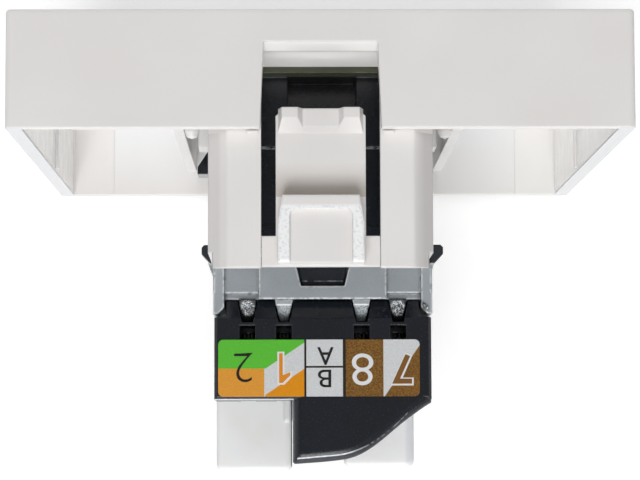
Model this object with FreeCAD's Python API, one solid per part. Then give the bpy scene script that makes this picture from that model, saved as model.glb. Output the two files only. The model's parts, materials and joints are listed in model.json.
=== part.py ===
import FreeCAD, Part
import math
import os

# Ethernet socket module of the 45 mm snap-in type.
# Millimetres, front face at Y = 0, wiring side towards +Y, +Z up.

# Front cover
FRAME = 45.0            # side of the square cover
RIM = 8.55              # depth of the cover
WALL = 1.1              # side walls
PLATE = 1.6             # front plate
EDGE_R = 0.3            # rounding of the front edges
CORNER_R = 0.4          # rounding of the four corners
NOTCH_FRONT = 2.35      # where a wall notch starts
NOTCH_SLOPE = 0.5       # how far the notch's end face leans
NOTCH_W_FRONT = 8.2     # notch width at its closed end
NOTCH_W_RIM = 8.7       # notch width at the rim
NOTCH_R = 0.15          # rounding of the notch's closed corners
RIB_X = 10.5            # inner face of the long ribs
RIB_T = 0.8             # thickness of the long ribs
RIB_SHORT = 2.1         # ribs stop this far before the rim
PAD_X = 17.8            # half length of the thicker part of the upper and lower wall
PAD_T = 0.12            # extra thickness there
CRUSH_W = 0.4           # small ribs inside the end walls
CRUSH_T = 0.25
CRUSH_Z = -4.5
STEP_W = 0.5            # raised strips on the plate along the end walls
STEP_T = 0.35
PEG_X = 9.74            # domed pegs beside the holder
PEG_Z = 8.0
PEG_R = 0.56
PEG_END = 7.5

# Clearances
FIT = 0.08              # between pieces that sit in one another
RUN = 0.15              # between pieces that move on one another
PIN_FIT = 0.05          # radial, latch pins in their holes

# Holder
FLANGE_T = 0.9          # flange on the back of the front plate
HOLDER_W = 16.24        # outer width of the sleeve
HOLDER_T = 1.1          # sleeve walls
HOLDER_SIDE_X = 1.42    # sloping bands along the sleeve's corners
HOLDER_SIDE_Z = 1.42
HOLDER_R = 0.35         # rounding of the bands' edges
HOLDER_IN_R = 0.3       # inner corners of the sleeve
LIP_END = 18.45         # rear edge of the upper and lower wall
SIDE_END = 17.3         # rear edge of the side walls
LIP_TAPER_Y = 0.62      # lead-in at the lip's outer corners
LIP_TAPER_X = 0.34
LUG_X = 9.48            # outer face of the side lugs
LUG_END = 7.28
LUG_HALF_Z = 1.5
NIB_X = (4.5, 5.3)      # nibs that catch the cover's rim
NIB_Y = 0.2
NIB_T = 0.14

# Latch clips
SLOT_W = 8.55           # slot in the holder's wall
CLIP_T = 1.1            # thickness of tongue and base
CLIP_FIT = 0.03         # base in its slot
BASE_START = 16.22      # where the two side slots end
TONGUE_W = 6.45         # width of the tongue
HOOK_FRONT = 7.08       # free end of the tongue
HOOK_DIP = 0.4          # height of the low middle part
HOOK_H = 1.1            # height of the two ears
EAR_TOP_X = (1.64, 2.78)
EAR_FOOT_X = (1.1, 3.05)
EAR_TOP_Y = 0.75        # length of an ear's flat top
RAMP_Y = 1.72           # length of the ears with their ramp
HOOK_CUT = 0.5          # cut outer corners of the free end
TAB_START = 13.38       # foot of the finger tab's front face
TAB_TOP = 13.48         # top of that face
TAB_END = 18.27
TAB_W_FRONT = 5.45
TAB_W = 6.15
TAB_H = 2.2
TAB_POCKET_START = 14.47
TAB_POCKET_W = 4.46
TAB_POCKET_T = 0.4
TAB_POCKET_R = 0.5
TAB_EDGE = 0.2
PIN_R = 0.32            # pins at the root of the clip
PIN_L = 0.6
PIN_Y = 17.35

# Socket housing
JACK_X = -0.26          # the jack sits this far off the cover's middle
HOUSE_FIT = 0.12        # between the housing and the sleeve
HOUSE_H = 19.4
NOSE_FRONT = 0.3        # set back from the front face
NOSE_H = 16.2
NOSE_R = 0.6
STOP_T = 0.45           # thin stop flange against the holder
STOP_H = 23.8
BACK_STEP = (8.3, 14.5)  # stretch where the upper and lower face lie lower
BACK_STEP_T = 0.5
BACK_STEP_R = 0.2
WINDOW_W = 5.28         # blind recess above the plug's latch
WINDOW_END = 8.0
WINDOW_FLOOR = 6.4
PLUG_W = 11.8           # plug cavity
PLUG_TOP = 2.6
PLUG_FLOOR = -4.2
PLUG_END = 12.6
LATCH_W = 6.2           # wide step of the plug latch channel
LATCH_TOP = 4.1
KEY_W = 4.0             # narrow step of the plug latch channel
KEY_TOP = 5.4
PLUG_LEAD = 0.35        # lead-in at the mouth
COMB_W = 0.66           # contact slots in the cavity floor
COMB_DEEP = 1.75
COMB_START = 3.6
WELL_START = 13.2       # rear well for carrier and board
WELL_WALL = 0.8
WELL_H = 17.0
EAR_Y = (15.8, 17.2)    # side wings that stop the jack
EAR_Z = (7.2, 9.4)
EAR_REACH = 1.08        # how far they stand out of the sleeve
BARB_Y = (4.85, 8.45)   # side barbs that hold the jack
BARB_Z = (-9.4, -6.8)
BARB_REACH = (2.0, 1.3)  # the barb at +X stands out further
BARB_FLAT = 0.6
SNAP_W = (3.75, 3.0)    # black snap tongue over the grey body, at root and end
SNAP_R = 0.25
SNAP_END = 18.87
SNAP_T = 0.8

# Contacts and board
PINS = 8
PITCH = 1.02
SPRING_W = 0.42
SPRING_T = 0.32
SPRING_LOW = -5.45      # level of the straight run
SPRING_FRONT = 4.5      # where the wire turns back
SPRING_TIP = (10.2, -2.15)
PIN_OUT = 0.3           # contact ends stand out of the board
CARRIER_T = 1.9
CARRIER_TOP = -4.3
BOARD_T = 1.0
BOARD_GAP = 0.1
BOARD_HOLE_R = 0.36

# Grey body
GREY_W = 16.6
GREY_H = 21.0
GREY_END = 20.0         # rear face of the wide part
GREY_PANEL_W = 9.64     # raised middle panel
GREY_PANEL_IN = 0.45    # side panels lie this much lower
GREY_PANEL_IN2 = 0.95   # and this much at the rear strip
GREY_STEP = 19.55
GREY_STRIP_T = 0.84     # side strips
GREY_STRIP_END = 21.12
GREY_EDGE = 0.12
CORE_W = 14.8
CORE_H = 9.2
CORE_END = 27.0
ARM_OUT = 9.05          # side arms outside the holder
ARM_FRONT = 16.3
ARM_ROOT = 18.4
ARM_T = 0.5
ARM_HALF_Z = 3.0
POST_END = 21.6         # guide posts in the caps' funnels
POST_H = 9.9
POST_FALL = 1.2         # their tops fall away towards the rear

# Wire contacts
WIRE_EDGE = 0.4         # outer wire contacts from the well's side
WIRE_PITCH = 2.76
IDC_LEG_W = 0.6
IDC_T = 0.4
IDC_LEG_Z = 3.0
IDC_Y = 22.55
IDC_BLADE_W = 0.95
IDC_TIP = 6.0
IDC_SLIT_W = 0.28
IDC_SLIT_L = 1.6
IDC_POINT = 0.3

# Wiring caps
CAP_INSET = 0.1         # caps are this much narrower than the grey body, each side
CAP_TOP = 10.5
CAP_START = 20.1
CAP_END = 27.6
CAP_BEVEL_Y = 1.35
CAP_BEVEL_Z = 0.75
CAP_SHOULDER = 21.28    # the caps are full width behind the side strips
CAP_SHOULDER_CUT = 0.12
CAP_EDGE = 0.22
FUNNEL_W = (1.56, 0.86)  # wire funnels, at the front and at their end
FUNNEL_END = 21.75
BLADE_SLOT_W = 1.2
BLADE_SLOT_Y = (22.0, 23.1)
GROOVE_W = 1.15
GROOVE_DEEP = 1.8
TONGUE_SIDE = 2.26      # straight side of the cap's rear tongue
TONGUE_END = 32.42
TONGUE_T = 2.2
TONGUE_R = 0.25
TONGUE_EDGE = 0.7       # rounding of the tongue's upper edge
TONGUE_CURVE = ((1.4, 32.38), (-1.2, 32.16), (-2.0, 32.02), (-6.0, 29.36), (-7.1, 28.55))
TONGUE_FOOT = 27.83     # where the curve meets the cap's side

# Label
LABEL_SIDE = (0.9, 0.3)  # from the cap's two sides
LABEL_Y = (23.08, 27.37)
LABEL_T = 0.1
LABEL_R = 0.38

# Rear fork
FORK_X = ((2.33, 8.25), (-7.24, -1.82))  # the two prongs differ a little
FORK_H = 5.0
FORK_END = (33.0, 32.7)
FORK_WEB_END = 29.0
FORK_WEB_H = 1.4
FORK_TENON = (7.0, 1.6, 1.2)
FORK_R = 0.55           # rounding of the prongs' corners
FORK_EDGE = 0.4         # and of their upper and lower edges
FORK_RIB_X = (2.45, 2.95)
FORK_RIB_END = 29.05

# Derived levels
HALF = FRAME / 2
BACK = PLATE + FLANGE_T             # rear face of the holder's flange
HOLDER_TOP = HALF - WALL - PAD_T - FIT
HOUSE_W = HOLDER_W - 2 * (HOLDER_T + HOUSE_FIT)
HOUSE_X = HOUSE_W / 2
EAR_OUT = HOLDER_W / 2 + EAR_REACH
WELL_W = HOUSE_W - 2 * WELL_WALL
WIRE_OUT = WELL_W / 2 - WIRE_EDGE
WIRE_X = (-WIRE_OUT, WIRE_PITCH - WIRE_OUT, WIRE_OUT - WIRE_PITCH, WIRE_OUT)
HOUSE_Z = HOUSE_H / 2
CLIP_LOW = HOLDER_TOP - CLIP_T
BOARD_FRONT = WELL_START + CARRIER_T + 2 * BOARD_GAP
BOARD_BACK = BOARD_FRONT + BOARD_T
HOUSE_END = SIDE_END + FIT
GREY_START = HOUSE_END + FIT
CAP_LOW = CORE_H / 2 + RUN
CAP_W = GREY_W - 2 * CAP_INSET


def vec(x, y, z):
    return FreeCAD.Vector(x, y, z)


def box(x, y, z):
    return Part.makeBox(x[1] - x[0], y[1] - y[0], z[1] - z[0], vec(x[0], y[0], z[0]))


def centred(width, middle=0.0):
    return (middle - width / 2, middle + width / 2)


def face_of(points):
    return Part.Face(Part.makePolygon(points + points[:1]))


def prism_x(points, x):
    """Solid from a (y, z) outline between two x values."""
    return face_of([vec(x[0], p[0], p[1]) for p in points]).extrude(vec(x[1] - x[0], 0, 0))


def prism_y(points, y):
    """Solid from an (x, z) outline between two y values."""
    return face_of([vec(p[0], y[0], p[1]) for p in points]).extrude(vec(0, y[1] - y[0], 0))


def prism_z(points, z):
    """Solid from an (x, y) outline between two z values."""
    return face_of([vec(p[0], p[1], z[0]) for p in points]).extrude(vec(0, 0, z[1] - z[0]))


def fuse(first, *others):
    return first.fuse(list(others)).removeSplitter()


def cut(first, *others):
    return first.cut(list(others))


def flip_x(shape):
    return shape.mirror(vec(0, 0, 0), vec(1, 0, 0))


def flip_z(shape):
    return shape.mirror(vec(0, 0, 0), vec(0, 0, 1))


def at_jack(shape):
    """A shape made about the jack's middle, moved to where the jack sits."""
    return shape.translated(vec(JACK_X, 0, 0))


def half_turn(shape):
    """The same piece turned half round about the plug axis."""
    turned = shape.copy()
    turned.rotate(vec(0, 0, 0), vec(0, 1, 0), 180)
    return turned


def edges(shape, test):
    """Edges whose two ends and middle all pass the test."""
    found = []
    for edge in shape.Edges:
        points = [v.Point for v in edge.Vertexes]
        points.append(edge.valueAt((edge.FirstParameter + edge.LastParameter) / 2))
        if all(test(p) for p in points):
            found.append(edge)
    return found


def along(shape, axis, test=lambda p: True):
    """Straight edges along one axis (0, 1 or 2) that pass the test."""
    found = []
    for edge in edges(shape, test):
        a, b = edge.Vertexes[0].Point, edge.Vertexes[-1].Point
        step = b - a
        if step.Length > 1e-6 and abs(abs(step[axis]) - step.Length) < 1e-6:
            found.append(edge)
    return found


def close(a, b):
    return abs(a - b) < 1e-4


def notch_outline(z, front):
    """Outline of a wall notch at one level, open at the rim."""
    wide = NOTCH_W_RIM / 2
    narrow = NOTCH_W_FRONT / 2
    reach = RIM + 1.0
    over = wide + (wide - narrow) / (RIM - NOTCH_FRONT)
    turn = NOTCH_R * math.sqrt(0.5)
    start = vec(-narrow, front + NOTCH_R, z)
    first = vec(-narrow + NOTCH_R, front, z)
    second = vec(narrow - NOTCH_R, front, z)
    last = vec(narrow, front + NOTCH_R, z)
    mid_a = vec(-narrow + NOTCH_R - turn, front + NOTCH_R - turn, z)
    mid_b = vec(narrow - NOTCH_R + turn, front + NOTCH_R - turn, z)
    return Part.Wire([
        Part.makeLine(vec(-over, reach, z), start),
        Part.Arc(start, mid_a, first).toShape(),
        Part.makeLine(first, second),
        Part.Arc(second, mid_b, last).toShape(),
        Part.makeLine(last, vec(over, reach, z)),
        Part.makeLine(vec(over, reach, z), vec(-over, reach, z)),
    ])


def make_front_frame():
    body = box((-HALF, HALF), (0, RIM), (-HALF, HALF))
    body = body.makeFillet(CORNER_R, along(body, 1))
    body = body.makeFillet(EDGE_R, edges(body, lambda p: close(p.y, 0)))
    inner = HALF - WALL
    body = cut(body, box((-inner, inner), (PLATE, RIM + 1), (-inner, inner)))
    pad = box((-PAD_X, PAD_X), (PLATE - 0.2, RIM), (inner - PAD_T, inner + 0.2))
    rib = box((RIB_X, RIB_X + RIB_T), (PLATE - 0.2, RIM - RIB_SHORT), (-inner - 0.2, inner + 0.2))
    crush = box((inner - CRUSH_T, inner + 0.2), (PLATE - 0.2, RIM - 0.3), centred(CRUSH_W, CRUSH_Z))
    shoulder = PEG_R * math.sqrt(0.5)
    outline = [vec(0, PLATE - 0.2, 0), vec(PEG_R, PLATE - 0.2, 0), vec(PEG_R, PEG_END - PEG_R, 0),
               vec(shoulder, PEG_END - PEG_R + shoulder, 0), vec(0, PEG_END, 0)]
    wire = Part.makePolygon(outline + outline[:1])
    peg = Part.Face(wire).revolve(vec(0, 0, 0), vec(0, 1, 0), 360)
    peg.translate(vec(PEG_X, 0, PEG_Z))
    strip = box((inner - STEP_W, inner + 0.2), (PLATE - 0.2, PLATE + STEP_T), (-inner, inner))
    sides = [rib, crush, strip, peg]
    body = fuse(body, pad, flip_z(pad), *sides, *[flip_x(side) for side in sides])
    outer = notch_outline(HALF + 0.2, NOTCH_FRONT - NOTCH_SLOPE * 0.2 / WALL)
    deep = WALL + PAD_T + 0.2
    innermost = notch_outline(HALF - deep, NOTCH_FRONT + NOTCH_SLOPE * deep / WALL)
    notch = Part.makeLoft([outer, innermost], True, True)
    port = box(centred(HOUSE_W + 2 * FIT), (-1, PLATE + 1), centred(NOSE_H + 2 * FIT))
    port = at_jack(port.makeFillet(NOSE_R, along(port, 1)))
    return cut(body, notch, flip_z(notch), port)


def make_jack_holder():
    top = HOLDER_TOP
    edge = HOLDER_W / 2
    band = [(edge, top - HOLDER_SIDE_Z), (edge - HOLDER_SIDE_X, top)]
    outline = band + [(-x, z) for x, z in reversed(band)]
    outline += [(-x, -z) for x, z in outline]
    sleeve = prism_y(outline, (PLATE, LIP_END))
    sleeve = sleeve.makeFillet(HOLDER_R, along(sleeve, 1))
    inside = top - HOLDER_T
    bore = box(centred(HOLDER_W - 2 * HOLDER_T), (PLATE - 1, LIP_END + 1), (-inside, inside))
    bore = at_jack(bore.makeFillet(HOLDER_IN_R, along(bore, 1)))
    flange = box(centred(2 * (RIB_X - FIT)), (PLATE, BACK), (-top, top))
    lug = box((HOLDER_W / 2 - 0.3, LUG_X), (BACK - 0.2, LUG_END), (-LUG_HALF_Z, LUG_HALF_Z))
    nib = box(NIB_X, (RIM + FIT, RIM + FIT + NIB_Y), (top - 0.3, top + NIB_T))
    nibs = fuse(nib, flip_x(nib))
    body = fuse(cut(sleeve, bore), flange, lug, flip_x(lug), nibs, flip_z(nibs))
    short = box((-HALF, HALF), (SIDE_END, LIP_END + 1), (-inside, inside))
    slot = box(centred(SLOT_W), (BACK, LIP_END + 1), (top - HOLDER_T - 0.2, top + 1))
    nose = box(centred(HOUSE_W + 2 * FIT), (0, BACK + 1), centred(NOSE_H + 2 * FIT))
    nose = nose.makeFillet(NOSE_R, along(nose, 1))
    wing = box((HOUSE_X, HALF), (EAR_Y[0] - FIT, LIP_END), (EAR_Z[0] - FIT, EAR_Z[1] + FIT))
    barb = box((HOUSE_X, HALF), (BARB_Y[0] - 0.5, BARB_Y[1] + FIT), (BARB_Z[0] - FIT, BARB_Z[1] + FIT))
    start = LIP_END - LIP_TAPER_Y
    taper = prism_z([(edge, start), (edge + 1, start), (edge + 1, LIP_END + 1),
                     (edge - LIP_TAPER_X, LIP_END + 1), (edge - LIP_TAPER_X, LIP_END)], (-HALF, HALF))
    peg = Part.makeCylinder(PEG_R + FIT, BACK + 1, vec(PEG_X, 0, PEG_Z), vec(0, 1, 0))
    pin_z = CLIP_LOW + CLIP_T / 2
    pin_x = SLOT_W / 2 + PIN_L + FIT
    pins = Part.makeCylinder(PIN_R + PIN_FIT, 2 * pin_x, vec(-pin_x, PIN_Y, pin_z), vec(1, 0, 0))
    sides = [taper, peg]
    sides += [flip_x(tool) for tool in sides]
    sides += [at_jack(tool) for tool in (nose, wing, flip_x(wing), barb, flip_x(barb))]
    return cut(body, short, slot, flip_z(slot), pins, flip_z(pins), *sides)


def make_latch_clip():
    low, top = CLIP_LOW, HOLDER_TOP
    half = TONGUE_W / 2
    plan = [(-half, BASE_START + 0.5), (-half, HOOK_FRONT + HOOK_CUT), (-half + HOOK_CUT, HOOK_FRONT),
            (half - HOOK_CUT, HOOK_FRONT), (half, HOOK_FRONT + HOOK_CUT), (half, BASE_START + 0.5)]
    tongue = prism_z(plan, (low, top))
    base = box(centred(SLOT_W - 2 * CLIP_FIT), (BASE_START, LIP_END - FIT), (low, top))
    ramp_end = HOOK_FRONT + RAMP_Y
    dip = prism_x([(HOOK_FRONT, top - 0.2), (HOOK_FRONT, top + HOOK_DIP),
                   (ramp_end - HOOK_DIP, top + HOOK_DIP), (ramp_end, top), (ramp_end, top - 0.2)],
                  centred(2 * EAR_FOOT_X[1] - 0.4))

    def ear_outline(x, y_end, z):
        points = [vec(x[0], HOOK_FRONT, z), vec(x[1], HOOK_FRONT, z)]
        points += [vec(x[1], y_end, z), vec(x[0], y_end, z)]
        return Part.makePolygon(points + points[:1])

    foot = ear_outline(EAR_FOOT_X, ramp_end, top)
    ear = Part.makeLoft([foot, ear_outline(EAR_TOP_X, HOOK_FRONT + EAR_TOP_Y, top + HOOK_H)], True, True)
    tab_side = [(TAB_START, top - 0.2), (TAB_START, top), (TAB_TOP, top + TAB_H), (TAB_END, top + TAB_H),
                (TAB_END, top - 0.2)]
    tab = prism_x(tab_side, centred(TAB_W))
    lean = (TAB_W - TAB_W_FRONT) / 2
    side, foot_y = TAB_W / 2, TAB_START - 0.1
    shave = prism_z([(side - lean, foot_y), (side + 1, foot_y), (side + 1, TAB_TOP + 2), (side, TAB_TOP + 2)],
                    (top, top + TAB_H + 1))
    tab = cut(tab, shave, flip_x(shave))
    tab = tab.makeFillet(TAB_EDGE, edges(tab, lambda p: p.z > top + TAB_H - 0.01 and p.y > TAB_TOP - 0.01))
    tab_top = top + TAB_H
    pocket_z = (tab_top - TAB_POCKET_T, tab_top + 1)
    pocket = box(centred(TAB_POCKET_W), (TAB_POCKET_START, TAB_END + 1), pocket_z)
    pocket = pocket.makeFillet(TAB_POCKET_R, along(pocket, 2, lambda p: p.y < TAB_END))
    tab = cut(tab, pocket)
    pin_x = SLOT_W / 2 + PIN_L
    pin = Part.makeCylinder(PIN_R, 2 * pin_x, vec(-pin_x, PIN_Y, low + CLIP_T / 2), vec(1, 0, 0))
    return fuse(tongue, base, dip, ear, flip_x(ear), tab, pin)


def make_jack_housing():
    body = box(centred(HOUSE_W), (BACK, HOUSE_END), centred(HOUSE_H))
    stop = box(centred(HOUSE_W), (BACK, BACK + STOP_T), centred(STOP_H))
    nose = box(centred(HOUSE_W), (NOSE_FRONT, BACK + 0.2), centred(NOSE_H))
    nose = nose.makeFillet(NOSE_R, along(nose, 1))
    root = HOUSE_X - 0.3
    wing = prism_z([(root, EAR_Y[0]), (EAR_OUT - 0.2, EAR_Y[0]), (EAR_OUT, EAR_Y[0] + 0.2),
                    (EAR_OUT, EAR_Y[0] + 0.7), (EAR_OUT - 0.65, EAR_Y[1]), (root, EAR_Y[1])], EAR_Z)
    edge = HOLDER_W / 2
    barbs = []
    for reach in BARB_REACH:
        barbs.append(prism_z([(root, BARB_Y[0] - 0.3), (edge, BARB_Y[0]), (edge + reach, BARB_Y[1] - BARB_FLAT),
                              (edge + reach, BARB_Y[1]), (root, BARB_Y[1])], BARB_Z))
    snap = prism_z([(-SNAP_W[0] / 2, HOUSE_END - 0.5), (SNAP_W[0] / 2, HOUSE_END - 0.5),
                    (SNAP_W[0] / 2, HOUSE_END), (SNAP_W[1] / 2, SNAP_END), (-SNAP_W[1] / 2, SNAP_END),
                    (-SNAP_W[0] / 2, HOUSE_END)], (HOUSE_Z - SNAP_T, HOUSE_Z))
    snap = snap.makeFillet(SNAP_R, along(snap, 2, lambda p: close(p.y, SNAP_END)))
    body = fuse(body, stop, nose, wing, flip_x(wing), barbs[0], flip_x(barbs[1]), snap, flip_z(snap))
    step = box(centred(HOUSE_W + 2), BACK_STEP, (HOUSE_Z - BACK_STEP_T, HOUSE_Z + 1))
    step = step.makeFillet(BACK_STEP_R, along(step, 0, lambda p: p.z < HOUSE_Z))
    window = box(centred(WINDOW_W), (BACK + STOP_T, WINDOW_END), (WINDOW_FLOOR, HOUSE_Z + 1))
    plug = box(centred(PLUG_W), (-1, PLUG_END), (PLUG_FLOOR, PLUG_TOP))
    latch = box(centred(LATCH_W), (-1, PLUG_END), (PLUG_TOP - 0.1, LATCH_TOP))
    key = box(centred(KEY_W), (-1, PLUG_END), (LATCH_TOP - 0.1, KEY_TOP))
    cavity = fuse(plug, latch, key)
    lead = prism_x([(NOSE_FRONT - 0.1, PLUG_FLOOR - PLUG_LEAD - 0.1), (NOSE_FRONT + PLUG_LEAD, PLUG_FLOOR),
                    (NOSE_FRONT + PLUG_LEAD, PLUG_TOP), (NOSE_FRONT - 0.1, PLUG_TOP)], centred(PLUG_W))
    well = box(centred(WELL_W), (WELL_START, HOUSE_END + 3), centred(WELL_H))
    comb_z = (PLUG_FLOOR - COMB_DEEP, PLUG_FLOOR + 0.1)
    combs = [box(centred(COMB_W, x), (COMB_START, WELL_START + 0.1), comb_z) for x in spring_places()]
    return cut(body, step, flip_z(step), window, cavity, lead, well, *combs)


def spring_places():
    return [(i - (PINS - 1) / 2) * PITCH for i in range(PINS)]


def make_contact_spring(x):
    """One plug contact: a flat wire along the floor, turned back into the cavity."""
    low = SPRING_LOW - SPRING_T / 2
    run = [SPRING_TIP[0] - SPRING_FRONT, SPRING_TIP[1] - SPRING_LOW]
    length = math.hypot(run[0], run[1])
    along_y, along_z = run[0] / length, run[1] / length
    side = (-along_z * SPRING_T, along_y * SPRING_T)
    tip = SPRING_TIP
    knee = SPRING_T * (1 + along_y) / along_z
    points = [(BOARD_BACK + PIN_OUT, low), (BOARD_BACK + PIN_OUT, low + SPRING_T),
              (SPRING_FRONT + knee, low + SPRING_T), (tip[0] - side[0], tip[1] - side[1]), tip,
              (SPRING_FRONT, SPRING_LOW + SPRING_T), (SPRING_FRONT - SPRING_T, low + SPRING_T),
              (SPRING_FRONT - SPRING_T, low)]
    return prism_x(points, centred(SPRING_W, x))


def make_contact_carrier():
    half = WELL_H / 2 - FIT
    front = WELL_START + BOARD_GAP
    bar = box(centred(WELL_W - 2 * FIT), (front, front + CARRIER_T), (-half, CARRIER_TOP))
    wide = SPRING_W + 2 * FIT
    high = SPRING_T + 2 * FIT
    holes = [box(centred(wide, x), (WELL_START, BOARD_FRONT + 1), centred(high, SPRING_LOW))
             for x in spring_places()]
    return cut(bar, *holes)


def idc_places():
    """Place of each wire contact: x and which side, upper ones first."""
    return [(x, side) for side in (1, -1) for x in WIRE_X]


def eight_sides(x, z, radius):
    """Outline with eight sides round a circle of that radius."""
    reach = radius / math.cos(math.pi / 8)
    angles = [math.pi / 8 + math.pi / 4 * i for i in range(8)]
    return [(x + reach * math.cos(a), z + reach * math.sin(a)) for a in angles]


def make_circuit_board():
    board = box(centred(WELL_W - 2 * FIT), (BOARD_FRONT, BOARD_BACK), centred(WELL_H - 2 * FIT))
    board = board.makeFillet(0.5, along(board, 1))
    places = [(x, SPRING_LOW, BOARD_HOLE_R) for x in spring_places()]
    places += [(x, side * IDC_LEG_Z, BOARD_HOLE_R + 0.02) for x, side in idc_places()]
    depth = (BOARD_FRONT - 1, BOARD_BACK + 1)
    return cut(board, *[prism_y(eight_sides(x, z, r), depth) for x, z, r in places])


def make_idc_contact(x):
    """One upper wire contact: leg from the board, blade with a slit for the wire."""
    back = IDC_Y + IDC_T / 2
    leg = box(centred(IDC_LEG_W, x), (BOARD_FRONT - PIN_OUT, back), centred(IDC_T, IDC_LEG_Z))
    half = IDC_BLADE_W / 2
    slit = IDC_SLIT_W / 2
    shoulder = IDC_TIP - IDC_POINT
    right = [(half, IDC_LEG_Z - IDC_T / 2), (half, shoulder), (half - 0.12, IDC_TIP), (slit + 0.06, IDC_TIP),
             (slit, shoulder), (slit, IDC_TIP - IDC_SLIT_L)]
    outline = right + [(-p[0], p[1]) for p in reversed(right)]
    blade = face_of([vec(x + p[0], back - IDC_T, p[1]) for p in outline]).extrude(vec(0, IDC_T, 0))
    return fuse(leg, blade)


def make_idc_body():
    top = GREY_H / 2
    wide = GREY_W / 2
    strip_in = wide - GREY_STRIP_T
    block = box((-wide, wide), (GREY_START, GREY_END), (-top, top))
    block = block.makeChamfer(GREY_EDGE, along(block, 1))
    spigot_y = (BOARD_BACK + PIN_OUT + BOARD_GAP, GREY_START + 0.5)
    spigot = box(centred(WELL_W - 2 * FIT), spigot_y, centred(WELL_H - 2 * FIT))
    core = box(centred(CORE_W), (GREY_END - 0.5, CORE_END), centred(CORE_H))
    strip = prism_z([(strip_in, GREY_END - 0.5), (wide, GREY_END - 0.5), (wide, GREY_STRIP_END),
                     (wide - 0.38, GREY_STRIP_END), (strip_in, GREY_STRIP_END - 0.5)], (-top, top))
    arm = prism_z([(wide - 0.4, ARM_ROOT + 0.3), (wide, ARM_ROOT), (ARM_OUT, ARM_FRONT),
                   (ARM_OUT - ARM_T, ARM_FRONT), (wide - 0.15, GREY_START + 0.3),
                   (wide - 0.4, GREY_START + 0.3)], (-ARM_HALF_Z, ARM_HALF_Z))
    posts = []
    for x in WIRE_X:
        front = FUNNEL_W[0] / 2 - 0.12
        end = FUNNEL_W[1] / 2 - 0.12
        post = prism_z([(x - front, GREY_END - 0.5), (x + front, GREY_END - 0.5), (x + front, CAP_START),
                        (x + end, POST_END), (x - end, POST_END), (x - front, CAP_START)], (0, POST_H))
        lean = prism_x([(GREY_END, POST_H - 0.1), (GREY_END - 0.6, POST_H + 1), (POST_END + 1, POST_H + 1),
                        (POST_END + 1, POST_H - POST_FALL)], (x - 2, x + 2))
        posts.append(cut(post, lean))
    upper = fuse(posts[0], *posts[1:])
    body = fuse(block, spigot, core, strip, flip_x(strip), arm, flip_x(arm), upper, flip_z(upper))
    panel = GREY_PANEL_W / 2
    side = box((panel, strip_in), (GREY_START - 1, GREY_STEP), (top - GREY_PANEL_IN, top + 1))
    rear = box((panel, strip_in), (GREY_STEP - 0.01, GREY_END), (top - GREY_PANEL_IN2, top + 1))
    snap = prism_z([(-SNAP_W[0] / 2 - RUN, GREY_START - 1), (SNAP_W[0] / 2 + RUN, GREY_START - 1),
                    (SNAP_W[0] / 2 + RUN, GREY_START), (SNAP_W[1] / 2 + RUN, SNAP_END + RUN),
                    (-SNAP_W[1] / 2 - RUN, SNAP_END + RUN), (-SNAP_W[0] / 2 - RUN, GREY_START)],
                   (HOUSE_Z - SNAP_T - RUN, top + 1))
    cuts = fuse(side, flip_x(side), rear, flip_x(rear), snap)
    tools = [cuts, flip_z(cuts)]
    leg_w = IDC_LEG_W / 2 + FIT
    leg_t = IDC_T / 2 + FIT
    for x, turn in idc_places():
        z = turn * IDC_LEG_Z
        tools.append(box(centred(2 * leg_w, x), (BOARD_BACK, IDC_Y + leg_t), centred(2 * leg_t, z)))
        ends = sorted((turn * (IDC_LEG_Z - leg_t), turn * (CORE_H / 2 + 1)))
        blade_w = IDC_BLADE_W / 2 + FIT
        tools.append(box(centred(2 * blade_w, x), centred(2 * leg_t, IDC_Y), ends))
    apart, size, deep = FORK_TENON
    mortise = size + 2 * FIT
    for x in centred(apart):
        tools.append(box(centred(mortise, x), (CORE_END - deep - FIT, CORE_END + 1), centred(mortise)))
    return cut(body, *tools)


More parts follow.
